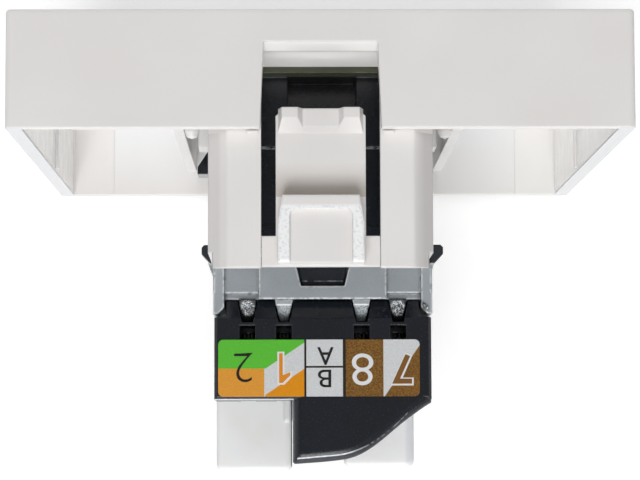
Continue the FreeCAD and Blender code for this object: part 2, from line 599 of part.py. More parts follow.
def make_wiring_cap():
    """Upper cap with four wire funnels and the curved rear tongue."""
    wide = CAP_W / 2
    inner = GREY_W / 2 - GREY_STRIP_T - RUN
    full = CAP_SHOULDER + CAP_SHOULDER_CUT
    right = [(inner, CAP_START), (inner, CAP_SHOULDER), (wide, full), (wide, CAP_END)]
    cap = prism_z(right + [(-p[0], p[1]) for p in reversed(right)], (CAP_LOW, CAP_TOP))
    front = CAP_START - 0.01
    bevel = prism_x([(front, CAP_TOP - CAP_BEVEL_Z), (CAP_START + CAP_BEVEL_Y, CAP_TOP),
                     (CAP_START + CAP_BEVEL_Y, CAP_TOP + 1), (front, CAP_TOP + 1)], (-wide - 1, wide + 1))
    low = CAP_TOP - TONGUE_T
    curve = Part.BSplineCurve()
    foot = vec(-wide, TONGUE_FOOT, low)
    curve.interpolate([vec(p[0], p[1], low) for p in TONGUE_CURVE] + [foot])
    corner = [foot, vec(-wide, CAP_END - 1, low), vec(TONGUE_SIDE, CAP_END - 1, low),
              vec(TONGUE_SIDE, TONGUE_END - TONGUE_R, low), vec(TONGUE_SIDE - TONGUE_R, TONGUE_END, low)]
    turn = TONGUE_R * (1 - math.sqrt(0.5))
    arc = Part.Arc(corner[3], vec(TONGUE_SIDE - turn, TONGUE_END - turn, low), corner[4]).toShape()
    lines = [Part.makeLine(a, b) for a, b in zip(corner[:3], corner[1:4])]
    rear = Part.makeLine(corner[4], vec(TONGUE_CURVE[0][0], TONGUE_CURVE[0][1], low))
    wire = Part.Wire(lines + [arc, rear, curve.toShape()])
    tongue = Part.Face(wire).extrude(vec(0, 0, TONGUE_T))
    round_off = edges(tongue, lambda p: close(p.z, CAP_TOP) and p.y > CAP_END - 1 + 0.01)
    round_off += along(tongue, 1, lambda p: close(p.z, CAP_TOP))
    tongue = tongue.makeFillet(TONGUE_EDGE, round_off)
    cap = cut(cap, bevel)
    rim = edges(cap, lambda p: close(p.z, CAP_TOP) and p.y > CAP_START + CAP_BEVEL_Y - 0.01)
    rim = [e for e in rim if max(v.Y for v in e.Vertexes) > CAP_END - 0.01]
    cap = fuse(cap.makeChamfer(CAP_EDGE, rim), tongue)
    tools = []
    for x in WIRE_X:
        wide_end, narrow_end = FUNNEL_W[0] / 2, FUNNEL_W[1] / 2
        through = (CAP_LOW - 1, CAP_TOP + 1)
        funnel = [(x - wide_end, CAP_START - 1), (x + wide_end, CAP_START - 1), (x + wide_end, CAP_START),
                  (x + narrow_end, FUNNEL_END), (x - narrow_end, FUNNEL_END), (x - wide_end, CAP_START)]
        tools.append(prism_z(funnel, through))
        tools.append(box(centred(BLADE_SLOT_W, x), BLADE_SLOT_Y, through))
        groove_z = (CAP_LOW - 1, CAP_LOW + GROOVE_DEEP)
        tools.append(box(centred(GROOVE_W, x), (FUNNEL_END - 0.1, CAP_END + 1), groove_z))
    return cut(cap, *tools)


def make_wiring_label():
    x = (LABEL_SIDE[0] - CAP_W / 2, CAP_W / 2 - LABEL_SIDE[1])
    label = box(x, LABEL_Y, (CAP_TOP, CAP_TOP + LABEL_T))
    return label.makeFillet(LABEL_R, along(label, 2))


def make_cable_fork():
    half = FORK_H / 2
    start = CORE_END + FIT
    prongs = []
    for x, rear in zip(FORK_X, FORK_END):
        prong = box(x, (start, rear), (-half, half))
        prong = prong.makeFillet(FORK_R, along(prong, 2, lambda p: close(p.y, rear)))
        level = edges(prong, lambda p: close(abs(p.z), half) and p.y > start + 0.01)
        prongs.append(prong.makeFillet(FORK_EDGE, [e for e in level if len(e.Vertexes) == 2]))
    rib = box(FORK_RIB_X, (start, FORK_RIB_END), (half - 0.2, half + 0.25))
    web = box((FORK_X[1][1] - 0.5, FORK_X[0][0] + 0.5), (start, FORK_WEB_END), centred(FORK_WEB_H))
    place, size, deep = FORK_TENON
    tenon = box(centred(size, place / 2), (CORE_END - deep, start + 0.5), centred(size))
    return fuse(prongs[0], prongs[1], rib, web, tenon, flip_x(tenon))


def build():
    upper_clip = make_latch_clip()
    upper_cap = make_wiring_cap()
    nodes = {
        "front_frame": make_front_frame(),
        "jack_holder": make_jack_holder(),
        "latch_clip_upper": upper_clip,
        "latch_clip_lower": half_turn(upper_clip),
        "jack_housing": make_jack_housing(),
        "contact_carrier": make_contact_carrier(),
        "circuit_board": make_circuit_board(),
        "idc_body": make_idc_body(),
        "wiring_cap_upper": upper_cap,
        "wiring_cap_lower": flip_z(upper_cap),
        "wiring_label": make_wiring_label(),
        "cable_fork": make_cable_fork(),
    }
    for number, x in enumerate(spring_places(), 1):
        nodes["contact_spring_%d" % number] = make_contact_spring(x)
    for number, (x, side) in enumerate(idc_places(), 1):
        contact = make_idc_contact(x)
        nodes["idc_contact_%d" % number] = contact if side > 0 else flip_z(contact)
    for name in nodes:
        if name not in ("front_frame", "jack_holder", "latch_clip_upper", "latch_clip_lower"):
            nodes[name] = at_jack(nodes[name])
    return nodes


os.makedirs("parts", exist_ok=True)
for name, shape in build().items():
    solids = shape.Solids
    print(name, "solids", len(solids), "closed", all(s.isClosed() and s.isValid() for s in solids),
          "mm3 %.1f" % shape.Volume)
    shape.exportStep("parts/" + name + ".step")
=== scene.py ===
# %% [markdown]
# # Dressing an ethernet socket module
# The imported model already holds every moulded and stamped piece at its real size. This script gives
# those pieces their finishes, adds the print on the wiring label, and sets up a small studio around
# them. Each step first says what the piece is on the real module, then how it is made here and why.

# %% Load the frame
import json
from math import radians

import bpy
from mathutils import Matrix, Vector


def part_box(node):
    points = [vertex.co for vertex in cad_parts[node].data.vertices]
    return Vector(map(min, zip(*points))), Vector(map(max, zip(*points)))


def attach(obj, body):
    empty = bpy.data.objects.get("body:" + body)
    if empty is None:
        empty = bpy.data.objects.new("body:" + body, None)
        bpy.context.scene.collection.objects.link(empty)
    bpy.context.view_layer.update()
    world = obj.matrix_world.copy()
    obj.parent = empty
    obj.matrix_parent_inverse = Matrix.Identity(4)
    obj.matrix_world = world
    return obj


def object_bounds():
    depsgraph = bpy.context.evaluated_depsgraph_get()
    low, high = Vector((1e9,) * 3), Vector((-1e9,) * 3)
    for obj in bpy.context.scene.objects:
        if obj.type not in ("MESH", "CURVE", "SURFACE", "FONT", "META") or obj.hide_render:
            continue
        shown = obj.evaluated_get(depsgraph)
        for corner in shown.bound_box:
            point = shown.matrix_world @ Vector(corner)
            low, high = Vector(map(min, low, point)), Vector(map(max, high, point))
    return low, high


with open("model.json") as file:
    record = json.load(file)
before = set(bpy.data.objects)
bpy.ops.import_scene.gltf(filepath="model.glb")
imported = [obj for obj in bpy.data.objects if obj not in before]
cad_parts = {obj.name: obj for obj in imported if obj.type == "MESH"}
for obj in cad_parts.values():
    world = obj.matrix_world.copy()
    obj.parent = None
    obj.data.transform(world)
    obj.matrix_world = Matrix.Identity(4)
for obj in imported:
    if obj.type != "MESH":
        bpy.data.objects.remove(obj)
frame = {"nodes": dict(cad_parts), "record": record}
cad_low, cad_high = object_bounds()
MM = 0.001
print("pieces:", len(frame["nodes"]), "size in mm:", [round(v / MM, 2) for v in cad_high - cad_low])

# %% [markdown]
# ## Where things are
# A finish changes from place to place: a rim is scuffed, a flange is rubbed. Many of those places are
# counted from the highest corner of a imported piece, so that they follow the model. The front face lies
# at Y = 0, the cable side is at high Y, and the picture shows high X on the left. Places and sizes in
# this script are millimetres.


# %% Corners of the pieces
def highest_corner(node):
    """The corner of a node's box with the highest X, Y and Z."""
    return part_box(node)[1] / MM


COVER = highest_corner("front_frame")
LATCH = highest_corner("latch_clip_upper")
HOUSING = highest_corner("jack_housing")
CAP = highest_corner("wiring_cap_upper")
LABEL = highest_corner("wiring_label")
JACK_X = sum(point.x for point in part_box("wiring_cap_upper")) / 2 / MM
print("the jack sits", round(JACK_X, 2), "mm beside the middle of the cover")

# %% [markdown]
# ## Sums on sockets
# A finish is a small sum: a base colour, plus a little noise, minus some shade along an edge. Wiring
# Math nodes by hand hides that sum, so one small class lets a node's output stand in an ordinary Python
# expression. Every other kind of node comes from its one method, which sets the node up before it joins
# the sockets.


# %% A socket that can be added and multiplied
class Sock:
    """One output of a node, usable in sums."""

    def __init__(self, tree, socket):
        self.tree = tree
        self.socket = socket

    def node(self, kind, settings, sockets, output=0):
        """Adds a node: its settings first, then a value or a link for each socket."""
        made = self.tree.nodes.new("ShaderNode" + kind)
        for name, value in settings.items():
            setattr(made, name, value)
        for key, value in sockets.items():
            if isinstance(value, Sock):
                self.tree.links.new(value.socket, made.inputs[key])
            else:
                made.inputs[key].default_value = value
        return Sock(self.tree, made.outputs[output])

    def sum(self, operation, *values):
        return self.node("Math", {"operation": operation}, dict(enumerate(values)))

    def __add__(self, other):
        return self.sum("ADD", self, other)

    def __mul__(self, other):
        return self.sum("MULTIPLY", self, other)

    def __sub__(self, other):
        return self.sum("SUBTRACT", self, other)

    def __rsub__(self, other):
        return self.sum("SUBTRACT", other, self)

    def __radd__(self, other):
        return self.sum("ADD", other, self)

    def __gt__(self, other):
        return self.sum("GREATER_THAN", self, other)

    def __lt__(self, other):
        return self.sum("LESS_THAN", self, other)


def part_of(mask, low, high):
    """Stretches the stretch low to high of a value over 0 to 1."""
    return mask.node("MapRange", {}, {"Value": mask, "From Min": low, "From Max": high})


def blend(mask, first, second):
    """First colour where the mask is 0, second where it is 1."""
    return mask.node("Mix", {"data_type": "RGBA"}, {0: mask, 6: first, 7: second}, output=2)


def between(value, low, high):
    """1 where the value lies between two limits, else 0."""
    return (value > low) * (value < high)


def size_of(value):
    """The value without its sign."""
    return value.sum("ABSOLUTE", value)


print("sockets can now be summed")

# %% [markdown]
# ## A start for every finish
# Every material reads the object's own coordinates, scaled to millimetres, because the pieces are small
# and all sit in one frame: a grain then has the same size on each piece. The Bevel node looks round the
# corner of the mesh and bends the normal there, so that sharp CAD edges catch the light like the
# rounded edges of a real moulding. Where that bent normal differs from the flat one there is an edge,
# which gives a mask for handling wear and for painted highlights along edges. Inner corners come from
# the Ambient Occlusion node, which asks how much of the space above a point is free; that mask carries
# painted shade.


# %% Helpers for finishes
def rgb(red, green, blue):
    """A colour as it looks on a screen, 0 to 255, made linear."""
    channels = [v / 255 for v in (red, green, blue)]
    return [v / 12.92 if v <= 0.04045 else ((v + 0.055) / 1.055) ** 2.4 for v in channels] + [1.0]


def start(name):
    """A new material and its coordinates in millimetres."""
    material = bpy.data.materials.new(name)
    material.use_nodes = True
    tree = material.node_tree
    place = Sock(tree, tree.nodes.new("ShaderNodeTexCoord").outputs["Object"])
    return material, place.node("VectorMath", {"operation": "SCALE"}, {0: place, "Scale": 1 / MM})


def noise(place, scale, detail=2.0):
    """Cloudy values round 0.5, with about scale lumps in a millimetre."""
    return place.node("TexNoise", {}, {"Vector": place, "Scale": scale, "Detail": detail})


def true_normal(place):
    """The direction that a face of the mesh looks in."""
    return place.node("NewGeometry", {}, {}, output="True Normal")


def rounded(place, radius, full=0.25):
    """The normal of edges rounded by that radius, and a mask of those edges."""
    soft = place.node("Bevel", {"samples": 6}, {"Radius": radius * MM})
    both = {0: soft, 1: true_normal(place)}
    match = soft.node("VectorMath", {"operation": "DOT_PRODUCT"}, both, output="Value")
    return soft, part_of(1 - match, 0.01, full)


def corner(place, reach, low=0.3, high=0.8):
    """A mask of inner corners, for painted shade: 1 deep in a corner, 0 on open faces."""
    open_part = place.node("AmbientOcclusion", {"samples": 6}, {"Distance": reach * MM}, output="AO")
    return part_of(1 - open_part, low, high)


def axis(place, name):
    """One coordinate of the place."""
    return place.node("SeparateXYZ", {}, {0: place}, output=name)


def from_jack(place):
    """Distance to either side of the middle of the jack."""
    return size_of(axis(place, "X") - JACK_X)


def from_middle(place):
    """Distance above or below the middle of the cover."""
    return size_of(axis(place, "Z"))


def leaning(place):
    """0 on faces that look straight up or down, 1 on upright ones."""
    return 1 - size_of(axis(true_normal(place), "Z"))


def bump(height, depth, normal):
    """A normal with a relief of that depth."""
    sockets = {"Height": height, "Distance": depth * MM, "Strength": 1.0, "Normal": normal}
    return height.node("Bump", {}, sockets)


def finish(material, **values):
    """Sets or links the sockets of the material's own shader."""
    tree = material.node_tree
    shader = tree.nodes["Principled BSDF"]
    for name, value in values.items():
        socket = shader.inputs[name.replace("_", " ")]
        if isinstance(value, Sock):
            tree.links.new(value.socket, socket)
        else:
            socket.default_value = value
    print(material.name, "has", len(tree.nodes), "nodes")
    return material


finishes = {}
print("white as seen 218,217,215 is", [round(v, 3) for v in rgb(218, 217, 215)[:3]])

# %% [markdown]
# ## White moulded plastic
# Cover, holder and latch clips are moulded in a white plastic with a fine satin texture. It could be
# one flat white, but the real pieces are a little cloudy, and their edges carry a painted highlight.
# Three noises do that: a slow one for the cloudiness, a middle one for the gloss, a fine one for the
# texture. The rest are masks made from places. The faces deep inside the cover get painted light, the
# end walls there come from a smoother part of the mould and are painted brighter as painted light, and
# the notch for the latch gets painted light too. The rear rims of the end walls get painted shade, and
# so do the long bevels of the holder, one darker than the other. The rims of the finger tabs stand
# highest and are scuffed to a bright white with fine scratches, behind a front strip that isn't scuffed.
# A warm painted shadow lies in front of the tabs, and painted shade in the inner corners.

# %% White plastic
PLATE_BACK = 1.4  # just short of the back of the front plate
DEEP_FACES = (8.0, 4.0)  # painted light on faces grows from the first depth to the second
INSIDE = COVER.z - 1.2  # about half the height between the upper and the lower wall
END_WALL = (COVER.x - 1.3, COVER.x - 1.05)  # inner faces of the end walls
END_RIM = COVER.x - 1.2
RIM_START = COVER.y - 0.15
NOTCH_DEPTH = (2.3, 4.2)
NOTCH_HALF = 4.7  # half its width, and a little more
NOTCH_HEIGHT = (9.5, COVER.z - 0.1)
HOLDER_START = COVER.y + 0.15
HOLDER_HALF = 8.6
RIGHT_BEVEL = (-6.6, -7.5)
LEFT_BEVEL = (7.1, 7.4)
TAB_TOP = (LATCH.z - 0.3, LATCH.z - 0.15)
SCUFF_START = (14.1, 14.3)
TAB_SHADOW_DEPTH = (10.9, 13.0)
TAB_SHADOW_HALF = 3.6
TAB_SHADOW_HEIGHT = (17.0, 22.0)
TAB_FRONT = 13.4


def cover_painted_light_and_shade(place, body, upright, smooth_lit_wall):
    """Painted light deep inside the cover, on its smoother end walls and in its notch, and painted shade on
    its rear rims.
    """
    depth = axis(place, "Y")
    height = from_middle(place)
    # painted light: faces deep inside the cover get an even light grey
    lit_deep = part_of(depth, *DEEP_FACES) * (depth > PLATE_BACK)
    body = blend(lit_deep * (height < INSIDE), body, rgb(232, 232, 232))
    # painted light: the smoother end walls are painted brighter
    body = blend(smooth_lit_wall, body, rgb(255, 254, 252))
    # painted shade on the rear rims of the end walls
    rim = (size_of(axis(place, "X")) > END_RIM) * (depth > RIM_START)
    body = blend(upright * rim, body, rgb(221, 222, 224))
    # painted light in the notch for the latch
    lit_notch = between(depth, *NOTCH_DEPTH) * (from_jack(place) < NOTCH_HALF)
    return blend(lit_notch * between(height, *NOTCH_HEIGHT), body, rgb(252, 251, 249))


def holder_painted_shade(place, body):
    """Painted shade on the two long bevels of the holder, darker on one than on the other."""
    across = axis(place, "X")
    holder = (axis(place, "Y") > HOLDER_START) * (size_of(across) < HOLDER_HALF)
    # painted shade, darker on the bevel at low X
    body = blend(holder * part_of(across, *RIGHT_BEVEL), body, rgb(206, 203, 202))
    return blend(holder * part_of(across, *LEFT_BEVEL), body, rgb(223, 220, 219))


def tab_shadow(place):
    """A mask of the strip in front of a finger tab, where a painted shadow of the tab lies."""
    depth = axis(place, "Y")
    strip = part_of(depth, *TAB_SHADOW_DEPTH) * (depth < TAB_FRONT)
    return strip * (from_jack(place) < TAB_SHADOW_HALF) * between(from_middle(place), *TAB_SHADOW_HEIGHT)


def white_plastic():
    material, place = start("white_plastic")
    normal, edge = rounded(place, 0.16)
    depth = axis(place, "Y")
    cloud = part_of(noise(place, 0.09), 0.35, 0.65)
    body = blend(cloud, rgb(231, 228, 226), rgb(235, 233, 231))
    speck = noise(place, 9.0, 1.0) > 0.72
    body = blend(speck * 0.06, body, rgb(190, 186, 180))
    upright = leaning(place) > 0.9
    wall = between(size_of(axis(place, "X")), *END_WALL)
    # the smoother end walls, which also get painted light
    smooth_lit_wall = upright * wall * between(depth, PLATE_BACK, RIM_START)
    body = cover_painted_light_and_shade(place, body, upright, smooth_lit_wall)
    body = holder_painted_shade(place, body)
    scuff = part_of(from_middle(place), *TAB_TOP) * part_of(depth, *SCUFF_START)
    scratch = part_of(noise(place, 5.0, 4.0), 0.52, 0.66)
    # painted highlight along the edges, and real scuffing on the tab rims
    edge_highlight_and_scuff = edge * 0.7 + scuff * 0.9
    colour = blend(part_of(edge_highlight_and_scuff, 0.0, 1.0), body, rgb(253, 254, 255))
    colour = blend(scuff * scratch * 0.4, colour, rgb(206, 207, 210))
    # painted shade in inner corners
    colour = blend(corner(place, 0.5) * 0.2, colour, rgb(150, 140, 128))
    # painted shadow of the tab on the strip in front of it
    colour = blend(tab_shadow(place) * 0.45, colour, rgb(148, 124, 98))
    gloss = noise(place, 0.6) * 0.16 + 0.36 - edge * 0.06 + scuff * 0.2 - smooth_lit_wall * 0.3
    relief = bump(noise(place, 5.5, 3.0) - scuff * scratch * 4.0, 0.006, normal)
    return finish(material, Base_Color=colour, Roughness=gloss, Normal=relief)


finishes["white_plastic"] = white_plastic()

# %% [markdown]
# ## Milky plastic of the cable fork
# The fork at the back is a purer, slightly milky white with a smoother skin, probably nylon. Light goes
# a little way into it, so its shader has some subsurface scattering, over a base with slow clouds. The
# prong at low X is painted brighter as painted light, with painted shade on its outer side. Inner corners
# get painted shade. Where the tongue of each cap passes close to the other prong, a thin black painted
# shadow runs along that prong's edge.

# %% Fork plastic
LIT_PRONG = (0.5, -0.5)
SHADED_SIDE = (-6.7, -7.0)
SHADOW_LINE = (1.9, 2.16)
SHADOW_LINE_HEIGHT = (1.5, 2.1)


def milky_plastic():
    material, place = start("milky_plastic")
    normal, edge = rounded(place, 0.3)
    across = axis(place, "X")
    cloud = part_of(noise(place, 0.22), 0.35, 0.65)
    body = blend(cloud, rgb(241, 241, 239), rgb(245, 246, 246))
    # painted light: the prong at low X is painted brighter
    body = blend(part_of(across, *LIT_PRONG), body, rgb(251, 252, 253))
    # painted shade in inner corners
    colour = blend(corner(place, 1.2) * 0.3, body, rgb(196, 198, 202))
    # painted shadow: a thin dark line along the prong beside the tongue of each cap
    shadow_line = between(across, *SHADOW_LINE) * part_of(from_middle(place), *SHADOW_LINE_HEIGHT)
    colour = blend(shadow_line * 0.95, colour, rgb(24, 24, 26))
    # painted shade on the outer side of the prong at low X
    colour = blend(part_of(across, *SHADED_SIDE) * 0.5, colour, rgb(206, 209, 216))
    gloss = noise(place, 1.0) * 0.14 + 0.36 + edge * 0.1
    relief = bump(noise(place, 3.0, 2.0), 0.004, normal)
    return finish(material, Base_Color=colour, Roughness=gloss, Normal=relief, Subsurface_Weight=0.5,
                  Subsurface_Radius=(1.0, 0.95, 0.9), Subsurface_Scale=1.0 * MM)


finishes["milky_plastic"] = milky_plastic()

# %% [markdown]
# ## Black moulded plastic
# The socket housing, the contact carrier and the two wiring caps are black with a slightly blue cast.
# Black plastic shows its texture mostly through its gloss: the faces are fairly smooth, and the edges
# are polished by the tool and by fingers, so they are smoother still, and carry thin lines of painted
# highlight over a little wear. The large rounding round the rear tongue of a cap is made of a few flat
# strips in the mesh, so a wider bevel smooths it there. A painted highlight runs along it as one bright
# line, parallel to the rim: the rim is straight at the tongue's end and then bends away in a parabola,
# and the mask is the distance from it. A second painted highlight line marks the foot of the bevel
# beside the tongue. The thin stop flange behind the cover is painted a lighter olive as painted light,
# and the snap in the window of the grey body is lighter, with a painted highlight along its lip. A step
# across the housing carries a painted highlight in the same way.

# %% Black plastic
TONGUE_START = (28.3, 28.6)
TONGUE_END = CAP.y - 0.12  # where the straight part of the rim would cross the middle of the cover
TONGUE_SIDE = 1.7
END_SLOPE = 0.085
BOW_START = -1.2  # from here on the rim bends away
BOW = 0.092
HIGHLIGHT_LINE = (0.36, 0.47)  # its distance from the rim
HIGHLIGHT_FADE = (-3.6, -2.2)
BEVEL_LEAN = (0.1, 0.8)
BEVEL_DEPTH = (27.3, 27.7)
FOOT_START = 27.54
FOOT_SIDE = 1.95
SNAP_DEPTH = (15.5, HOUSING.y + 0.03)
SNAP_FLOOR = 8.6
LIP_DEPTH = (HOUSING.y - 0.32, HOUSING.y - 0.23)
STEP_DEPTH = (8.28, 8.42)
STEP_HEIGHT = (9.1, 9.75)
FLANGE_HEIGHT = (9.85, 9.95)
FLANGE_BACK = 3.0


def inside_rim(place):
    """How far a place lies inside the rear rim of the tongue, along Y."""
    across = axis(place, "X")
    beyond = across.sum("MAXIMUM", BOW_START - across, 0.0)
    return TONGUE_END + across * END_SLOPE - beyond * beyond * BOW - axis(place, "Y")


def housing_dust_and_painted_light(place, body):
    """Dust on the black, painted highlights on the step and on the lip of the lighter snap, and painted
    light on the flange of the housing.
    """
    depth = axis(place, "Y")
    height = from_middle(place)
    broken = part_of(noise(place, 1.8, 3.0), 0.4, 0.6)
    # painted highlight on the step across the housing
    step_highlight = between(depth, *STEP_DEPTH) * between(height, *STEP_HEIGHT)
    body = blend(step_highlight * broken * 0.7, body, rgb(176, 188, 194))
    # painted highlight along the lip of the snap
    lip_highlight = between(depth, *LIP_DEPTH) * broken
    snap = between(depth, *SNAP_DEPTH) * (axis(place, "Z") > SNAP_FLOOR)
    body = blend(snap, body, blend(lip_highlight * 0.8, rgb(36, 40, 46), rgb(170, 180, 192)))
    dust = part_of(noise(place, 8.0, 2.0), 0.62, 0.78)
    body = blend(dust * 0.3, body, rgb(92, 98, 106))
    # painted light: the thin stop flange is painted a lighter olive
    lit_flange = part_of(height, *FLANGE_HEIGHT) * (depth < FLANGE_BACK)
    return blend(lit_flange * 0.9, body, rgb(76, 80, 58))


def black_plastic():
    material, place = start("black_plastic")
    normal, edge = rounded(place, 0.11)
    across = axis(place, "X")
    depth = axis(place, "Y")
    rear = part_of(depth, *TONGUE_START)
    normal = blend(rear, normal, rounded(place, 0.5)[0])
    cloud = part_of(noise(place, 0.25), 0.35, 0.65)
    body = housing_dust_and_painted_light(place, blend(cloud, rgb(6, 12, 22), rgb(9, 16, 27)))
    # painted highlight along edges, over a little wear
    edge_wear_and_highlight = edge * part_of(noise(place, 2.0, 3.0), 0.3, 0.7)
    colour = blend(edge_wear_and_highlight * 0.3, body, rgb(96, 102, 110))
    inside = inside_rim(place)
    rim = rear * (inside < HIGHLIGHT_LINE[0])
    streak = part_of(across, *HIGHLIGHT_FADE) * 0.7 + part_of(noise(place, 3.0, 3.0), 0.4, 0.6) * 0.25
    # painted highlight line along the rim of the tongue
    highlight_line = rear * between(inside, *HIGHLIGHT_LINE) * streak * (across < TONGUE_SIDE)
    bevel = between(leaning(place), *BEVEL_LEAN) * between(depth, *BEVEL_DEPTH)
    # painted highlight line at the foot of the bevel
    foot = bevel * (depth > FOOT_START) * (across > FOOT_SIDE)
    colour = blend(highlight_line + foot * 0.7, colour, rgb(232, 236, 241))
    gloss = noise(place, 1.2) * 0.08 + 0.15 - edge * 0.09 + (bevel - foot) * 0.4 + rim * 0.25
    relief = bump(noise(place, 7.0, 3.0), 0.004, normal)
    return finish(material, Base_Color=colour, Roughness=gloss, Normal=relief, Specular_IOR_Level=0.4)


finishes["black_plastic"] = black_plastic()

# %% [markdown]
# ## Grey moulded plastic
# The body under the wiring caps is a mid grey, moulded in a rougher tool than the white pieces. Its
# edges carry a little bright flash and a painted highlight, so the edge mask is broken up by a noise
# before it lightens the colour, and painted shade darkens its inner corners. Where the body was broken off
# its runners, on the ends of the two outer guide posts, the plastic is torn to crumbs: a fine noise there
# switches between dark and bright facets as painted glints, and the post round them is painted dark as
# painted shade. The inner posts are only scraped, and have one painted highlight across.

# %% Grey plastic
POST_START = 20.0
POST_FLOOR = 8.0
INNER_POSTS = (2.0, 4.0)  # distances from the middle of the jack
OUTER_POSTS = (4.6, 6.9)
OUTER_MIDDLE = 5.7
BRIGHT_BAR = (20.32, 20.45)
TORN_MIDDLE = 20.62
TORN_EDGE = (0.2, 0.42)  # squared distance from the middle of a torn end


def crumbs(place):
    """The colour of torn plastic, dark with bright facets that are painted glints."""
    return blend(part_of(noise(place, 9.0, 3.0), 0.46, 0.6), rgb(62, 68, 72), rgb(238, 242, 245))


def post_marks_and_painted_light(place, colour):
    """The guide posts: scraped inner ones with a painted highlight, torn outer ones with painted glints and
    painted shade round them.
    """
    across = from_jack(place)
    depth = axis(place, "Y")
    posts = (depth > POST_START) * (axis(place, "Z") > POST_FLOOR)
    scraped_and_highlit = blend(noise(place, 8.0, 3.0) > 0.5, rgb(134, 142, 146), rgb(188, 196, 200))
    # painted highlight: one bright bar across the inner posts
    scraped_and_highlit = blend(between(depth, *BRIGHT_BAR), scraped_and_highlit, rgb(246, 248, 250))
    colour = blend(posts * between(across, *INNER_POSTS) * (depth > BRIGHT_BAR[0]), colour, scraped_and_highlit)
    off_side = across - OUTER_MIDDLE
    off_depth = depth - TORN_MIDDLE
    off = off_side * off_side + off_depth * off_depth
    # painted glints on the torn ends, painted shade on the post round them
    torn_end = blend(part_of(off, *TORN_EDGE), crumbs(place), rgb(34, 36, 40))
    return blend(posts * between(across, *OUTER_POSTS), colour, torn_end)


def grey_plastic():
    material, place = start("grey_plastic")
    normal, edge = rounded(place, 0.26, 0.07)
    cloud = part_of(noise(place, 0.4), 0.3, 0.7)
    body = blend(cloud, rgb(148, 155, 160), rgb(156, 163, 168))
    body = blend((noise(place, 11.0, 1.0) > 0.62) * 0.12, body, rgb(96, 102, 108))
    # flash on the edges, with a painted highlight
    flash_and_highlight = edge * part_of(noise(place, 2.2, 3.0), 0.35, 0.5)
    colour = blend(flash_and_highlight * 0.95, body, rgb(244, 247, 250))
    # painted shade in inner corners
    colour = blend(corner(place, 0.4, 0.2, 0.52) * 0.8, colour, rgb(40, 43, 46))
    colour = post_marks_and_painted_light(place, colour)
    gloss = noise(place, 1.5) * 0.2 + 0.34
    relief = bump(noise(place, 6.0, 4.0), 0.008, normal)
    return finish(material, Base_Color=colour, Roughness=gloss, Normal=relief)


finishes["grey_plastic"] = grey_plastic()

# %% [markdown]
# ## Metals and board
# The plug contacts are spring wire with a thin gold plating, and the wire contacts are tin-plated
# strip. Both get fine drawing lines: a noise that is stretched along one axis before it reaches the
# gloss and the relief. Painted shade darkens the tin where it sits deep in a slot of the cap. The board
# is green lacquer over glass fibre, so a woven pattern of two crossed waves shows faintly through it,
# with copper tracks where a coarse wave is high.

# %% Contact metals and board
ALONG_Y = (1.0, 0.1, 1.0)
ALONG_Z = (1.0, 1.0, 0.1)
WEAVE = 1.1
TRACKS = 0.22


def drawn_metal(name, colour_low, colour_high, stretch, hollow_shade):
    """A drawn metal between two colours, with painted shade where it sits deep; the last argument, from 0 to
    1, sets how much.
    """
    material, place = start(name)
    normal, edge = rounded(place, 0.05)
    stretched = place.node("VectorMath", {"operation": "MULTIPLY"}, {0: place, 1: stretch})
    lines = noise(stretched, 4.0, 3.0)
    colour = blend(part_of(lines, 0.3, 0.7), colour_low, colour_high)
    # painted shade where the metal sits deep
    colour = blend(corner(place, 3.0, 0.5, 0.85) * hollow_shade, colour, rgb(22, 21, 20))
    gloss = lines * 0.25 + 0.16 + edge * 0.1
    relief = bump(lines, 0.004, normal)
    return finish(material, Base_Color=colour, Metallic=1.0, Roughness=gloss, Normal=relief)


def waves(place, direction, scale):
    """Soft bands across one direction, from 0 to 1."""
    sockets = {"Vector": place, "Scale": scale}
    return place.node("TexWave", {"bands_direction": direction}, sockets, output="Fac")


def lacquered_board():
    material, place = start("board")
    fibre = waves(place, "X", WEAVE) * waves(place, "Z", WEAVE)
    lacquer = blend(fibre, rgb(20, 84, 48), rgb(30, 104, 60))
    track = part_of(waves(place, "DIAGONAL", TRACKS), 0.8, 0.86)
    colour = blend(track * 0.6, lacquer, rgb(62, 140, 78))
    relief = bump(fibre, 0.01, rounded(place, 0.05)[0])
    return finish(material, Base_Color=colour, Roughness=fibre * 0.15 + 0.25, Normal=relief)


finishes["contact_metal"] = drawn_metal("contact_metal", rgb(226, 178, 92), rgb(250, 214, 132), ALONG_Y, 0.0)
finishes["tinned_metal"] = drawn_metal("tinned_metal", rgb(150, 150, 147), rgb(186, 186, 182), ALONG_Z, 0.95)
finishes["board"] = lacquered_board()

# %% [markdown]
# ## The printed label
# The label on the upper cap shows the wire colours as plain fields. An image would do, but fields with
# straight edges are easy sums of the label's own coordinates: a field is where a few half planes
# overlap. In the picture the label is seen with its right side at low X, so the sums use -X. Paper
# fibres show through the ink, most of all through the brown.

# %% Label fields
GREEN_END = 25.26
STRIPE_LEFT = -4.10
STRIPE_LINE = (-4.17, -4.08)  # a white line down the left end of the stripe
STRIPE_SLOPE = 0.667
STRIPE_EDGES = (22.55, 24.52)  # where the slanted edges would cross the middle of the cover
STRIPE_SOFT = 0.02  # half the width over which a slanted edge fades
LETTERS_LEFT = -1.07
LETTERS_RIGHT = 1.9
LETTERS_BAR = (25.07, 25.21)
LEFT_RULE = (-1.15, -0.99)
RIGHT_RULE = (1.76, 1.98)
SPLIT_LEFT = 4.82  # the last field starts white here, and has a brown corner
SPLIT_CORNER = 4.9
SPLIT_SLOPE = 1.452
SPLIT_EDGE = 34.5  # where the corner's edge would cross the middle of the cover
SPLIT_SOFT = 0.03


def past(value, edge, soft):
    """0 before a printed edge and 1 past it."""
    return part_of(value, edge - soft, edge + soft)


